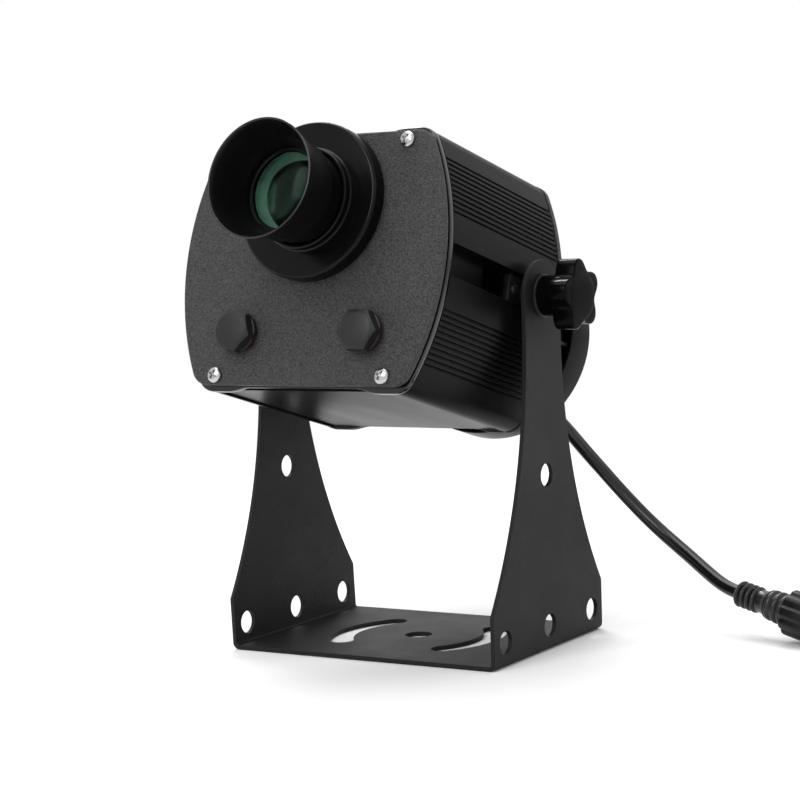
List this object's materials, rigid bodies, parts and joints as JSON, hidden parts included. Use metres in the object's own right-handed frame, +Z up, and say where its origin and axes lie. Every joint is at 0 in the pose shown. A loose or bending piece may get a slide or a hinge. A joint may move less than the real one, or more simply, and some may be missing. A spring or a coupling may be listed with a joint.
{
  "type": "gobo projector",
  "caption": "Compact gobo projector with a flared lens hood, grooved barrel-shaped housing and finned fan-cooled back, tilting on a flared U bracket with a clamp knob each side",
  "frame": {"origin": "on the floor, under the middle of the projector's bounding box without its free lead", "axes": "+X along the tilt axis towards the right clamp knob, -Y the side the lens looks to, +Z up from the bracket's base"},
  "size_m": [0.2806, 0.2182, 0.2409],
  "materials": {
    "bracket_coat": "fine-textured black powder coat",
    "plate_coat": "fine-textured black powder coat",
    "housing_coat": "satin black",
    "lens_anodised": "black anodised, satin",
    "sink_anodised": "black anodised, satin",
    "bare_aluminium": "satin",
    "bright_steel": "zinc plated, bright",
    "dark_steel": "black zinc plated, satin",
    "pinion_brass": "satin",
    "coated_glass": "clear with a green anti-reflection coating",
    "clear_glass": "clear, polished",
    "gasket_rubber": "matt black",
    "cord_rubber": "matt black",
    "seal_silicone": "matt red",
    "plug_plastic": "matt black",
    "knob_plastic": "satin black",
    "connector_plastic": "satin black",
    "fan_plastic": "satin black",
    "gear_plastic": "natural white",
    "washer_nylon": "matt black",
    "board_green": "solder mask green",
    "emitter_yellow": "phosphor yellow"
  },
  "bodies": {
    "bracket": {"bracket": "bracket_coat", "arm_washer_right": "dark_steel", "arm_washer_left": "dark_steel", "friction_washer_right": "washer_nylon", "friction_washer_left": "washer_nylon", "power_cord": "cord_rubber", "connector_body": "connector_plastic", "connector_insert": "connector_plastic"},
    "head": {"front_plate": "plate_coat", "front_gasket": "gasket_rubber", "front_frame": "housing_coat", "side_shell_right": "housing_coat", "side_shell_left": "housing_coat", "top_panel": "housing_coat", "bottom_panel": "housing_coat", "rear_gasket": "gasket_rubber", "rear_plate": "plate_coat", "front_screw_top_right": "bright_steel", "front_screw_top_left": "bright_steel", "front_screw_bottom_right": "bright_steel", "front_screw_bottom_left": "bright_steel", "rear_screw_top_right": "bright_steel", "rear_screw_top_left": "bright_steel", "rear_screw_bottom_right": "bright_steel", "rear_screw_bottom_left": "bright_steel", "pivot_plate_right": "dark_steel", "pivot_plate_left": "dark_steel", "blanking_plug_right": "plug_plastic", "blanking_plug_left": "plug_plastic", "plug_seal_right": "seal_silicone", "plug_seal_left": "seal_silicone", "lens_flange": "lens_anodised", "lens_nut": "lens_anodised", "optics_carrier": "bare_aluminium", "gobo_motor": "bright_steel", "condenser_holder": "bare_aluminium", "condenser_lens_front": "clear_glass", "condenser_lens_rear": "clear_glass", "led_board": "bare_aluminium", "led_emitter": "emitter_yellow", "driver_board": "board_green", "heat_sink": "sink_anodised", "fan_shroud": "housing_coat", "fan_guard": "fan_plastic", "fan_motor": "fan_plastic", "gland_body": "plug_plastic", "gland_nut": "plug_plastic"},
    "lens_barrel": {"lens_tube": "lens_anodised", "lens_hood": "lens_anodised", "front_lens": "coated_glass", "lens_retainer": "lens_anodised", "rear_lens": "coated_glass"},
    "gobo_holder": {"gobo_gear": "gear_plastic", "gobo_glass": "clear_glass", "gobo_clip": "bright_steel"},
    "motor_pinion": {"motor_pinion": "pinion_brass"},
    "fan_rotor": {"fan_rotor": "fan_plastic"},
    "knob_right": {"knob_right": "knob_plastic"},
    "knob_left": {"knob_left": "knob_plastic"},
    "coupling_nut": {"coupling_nut": "connector_plastic"}
  },
  "joints": [
    {"name": "head_tilt", "type": "hinge", "parent": "bracket", "child": "head", "pos_m": [0, 0.00615, 0.1587], "axis": [-1, 0, 0], "range_deg": [-106.35, 73.65], "deforming": ["power_cord"]},
    {"name": "knob_right_turn", "type": "hinge", "parent": "bracket", "child": "knob_right", "pos_m": [0.0837, 0.00615, 0.1587], "axis": [1, 0, 0], "range_deg": [0, 270]},
    {"name": "knob_left_turn", "type": "hinge", "parent": "bracket", "child": "knob_left", "pos_m": [-0.0837, 0.00615, 0.1587], "axis": [-1, 0, 0], "range_deg": [0, 270]},
    {"name": "lens_focus", "type": "slide", "parent": "head", "child": "lens_barrel", "axis": [0, -0.9596, 0.2815], "range_m": [-0.008, 0.01]},
    {"name": "gobo_turn", "type": "hinge", "parent": "head", "child": "gobo_holder", "pos_m": [0, -0.00364, 0.18711], "axis": [0, 0.9596, -0.2815], "continuous": true},
    {"name": "pinion_turn", "type": "hinge", "parent": "head", "child": "motor_pinion", "pos_m": [0.02425, -0.00758, 0.17367], "axis": [0, 0.9596, -0.2815], "continuous": true},
    {"name": "fan_turn", "type": "hinge", "parent": "head", "child": "fan_rotor", "pos_m": [0, 0.08715, 0.13285], "axis": [0, 0.9596, -0.2815], "continuous": true},
    {"name": "coupling_nut_turn", "type": "hinge", "parent": "bracket", "child": "coupling_nut", "pos_m": [0.17194, 0.05521, 0.01189], "axis": [0.9451, -0.271, -0.1827], "continuous": true}
  ],
  "couplings": [
    {"joint": "pinion_turn", "follows": "gobo_turn", "ratio": -4}
  ]
}
